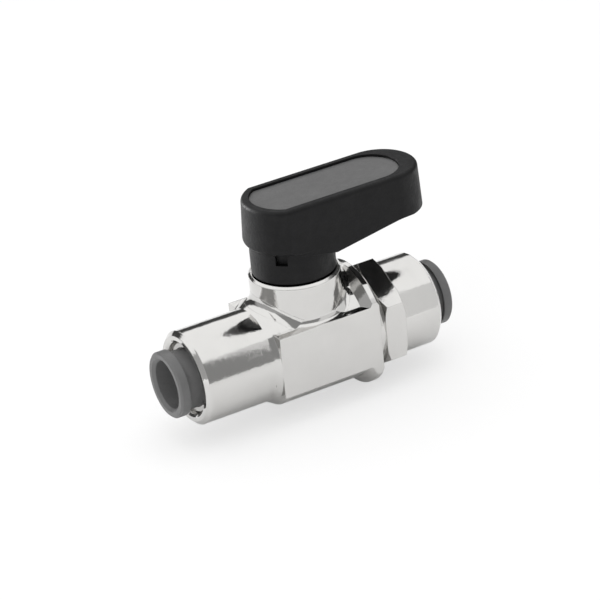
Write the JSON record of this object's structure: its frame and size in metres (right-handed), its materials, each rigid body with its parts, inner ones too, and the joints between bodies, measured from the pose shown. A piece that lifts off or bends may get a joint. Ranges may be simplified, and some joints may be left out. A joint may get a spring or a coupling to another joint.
{
  "type": "push-in ball valve",
  "caption": "Small inline ball valve: plated brass body with a screwed-in hexagon end, push-in tube socket with a release collar at each end, quarter-turn lever on top.",
  "frame": {"origin": "on the tube's axis, at the left socket's metal rim", "axes": "+X along the tube's axis from the left socket to the right one, +Z along the stem towards the lever's top, +Y to the lever's side"},
  "size_m": [0.0521, 0.017, 0.037],
  "materials": {
    "plated_brass": "bright nickel plate on forged and turned brass",
    "bare_brass": "turned",
    "chromed_ball": "polished",
    "spring_steel": "stamped",
    "zinc_steel": "zinc plated",
    "black_nylon": "moulded, fine grain",
    "grey_cap": "moulded, satin",
    "grey_collar": "moulded, satin",
    "ptfe": "turned, waxy",
    "rubber": "moulded"
  },
  "bodies": {
    "body": {"body": "plated_brass", "end_connector": "plated_brass", "connector_seal": "rubber", "left_seat": "ptfe", "right_seat": "ptfe", "left_cartridge": "plated_brass", "right_cartridge": "plated_brass", "left_backup": "ptfe", "right_backup": "ptfe", "left_tube_seal": "rubber", "right_tube_seal": "rubber"},
    "handle": {"handle": "black_nylon", "handle_insert": "grey_cap", "handle_screw": "zinc_steel", "stem": "bare_brass", "stem_washer": "ptfe", "lower_stem_ring": "rubber", "upper_stem_ring": "rubber", "ball": "chromed_ball"},
    "left_collar": {"left_collar": "grey_collar", "left_grip": "spring_steel"},
    "right_collar": {"right_collar": "grey_collar", "right_grip": "spring_steel"}
  },
  "joints": [
    {"name": "handle_turn", "type": "hinge", "parent": "body", "child": "handle", "pos_m": [0.0221, 0, 0], "axis": [0, 0, 1], "range_deg": [-90, 0]},
    {"name": "left_collar_press", "type": "slide", "parent": "body", "child": "left_collar", "axis": [1, 0, 0], "range_m": [0, 0.0012], "stiffness_N_per_m": 60, "springref_m": -0.0004},
    {"name": "right_collar_press", "type": "slide", "parent": "body", "child": "right_collar", "axis": [-1, 0, 0], "range_m": [0, 0.0012], "stiffness_N_per_m": 60, "springref_m": -0.0004}
  ]
}
